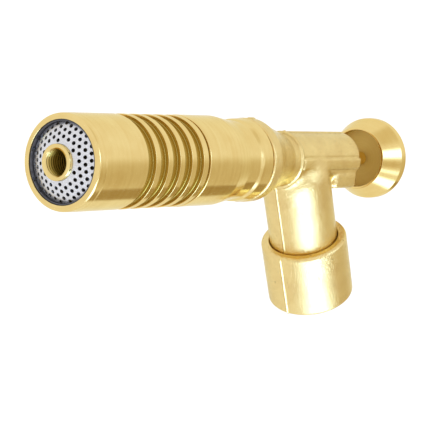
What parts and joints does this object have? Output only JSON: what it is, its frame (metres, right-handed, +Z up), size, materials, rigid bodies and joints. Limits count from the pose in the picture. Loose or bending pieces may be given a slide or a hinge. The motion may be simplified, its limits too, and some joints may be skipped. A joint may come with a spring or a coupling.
{
  "type": "lampwork torch",
  "caption": "Brass single-fuel bead torch head: grooved barrel with a domed flame plate, sliding air collar, cast valve body with knob, and a threaded socket for a gas cylinder",
  "frame": {"origin": "centre of the socket mouth, where the torch screws onto a gas cylinder", "axes": "+Z up along the stem away from the cylinder; the flame leaves towards +X, rising 27.8 degrees; +Y is the torch's left side seen from behind the knob"},
  "size_m": [0.1722, 0.031, 0.1271],
  "materials": {
    "turned_brass": "turned, fine lines round the axis, satin",
    "cast_brass": "cast and tumbled bright, slightly pitted",
    "polished_brass": "turned and polished",
    "inner_brass": "as machined",
    "stainless_plate": "perforated sheet, satin",
    "stainless_wire": "drawn wire",
    "steel_rod": "turned steel",
    "white_seal": "machined PTFE",
    "black_rubber": "moulded nitrile rubber",
    "fibre": "vulcanised fibre"
  },
  "bodies": {
    "torch": {"burner_barrel": "turned_brass", "flame_plate": "stainless_plate", "plate_ring": "inner_brass", "flashback_gauze": "stainless_wire", "centre_tube": "turned_brass", "tube_support": "inner_brass", "tube_locknut": "inner_brass", "venturi": "inner_brass", "mixing_tube": "turned_brass", "collar_spring_ring": "stainless_wire", "valve_body": "cast_brass", "inlet_socket": "cast_brass", "jet_holder": "inner_brass", "jet_washer": "fibre", "gas_jet": "inner_brass", "jet_filter": "inner_brass", "valve_seat": "white_seal", "packing_washer": "inner_brass", "packing_ring": "white_seal", "gland_follower": "inner_brass", "gland_nut": "inner_brass", "inlet_probe": "inner_brass", "probe_seal": "black_rubber", "inlet_filter": "inner_brass", "socket_gasket": "black_rubber"},
    "needle": {"needle": "steel_rod"},
    "knob": {"spindle": "polished_brass", "knob": "polished_brass", "knob_washer": "steel_rod", "knob_screw": "steel_rod"},
    "collar": {"air_collar": "turned_brass"}
  },
  "joints": [
    {"name": "needle_travel", "type": "slide", "parent": "torch", "child": "needle", "axis": [-0.8846, 0, -0.4664], "range_m": [0, 0.002]},
    {"name": "knob_turn", "type": "hinge", "parent": "needle", "child": "knob", "pos_m": [0, 0, 0.0567], "axis": [-0.8846, 0, -0.4664], "range_deg": [0, 720]},
    {"name": "collar_slide", "type": "slide", "parent": "torch", "child": "collar", "axis": [-0.8846, 0, -0.4664], "range_m": [0, 0.006]}
  ],
  "couplings": [
    {"joint": "needle_travel", "follows": "knob_turn", "m_per_rad": 0.000159}
  ]
}
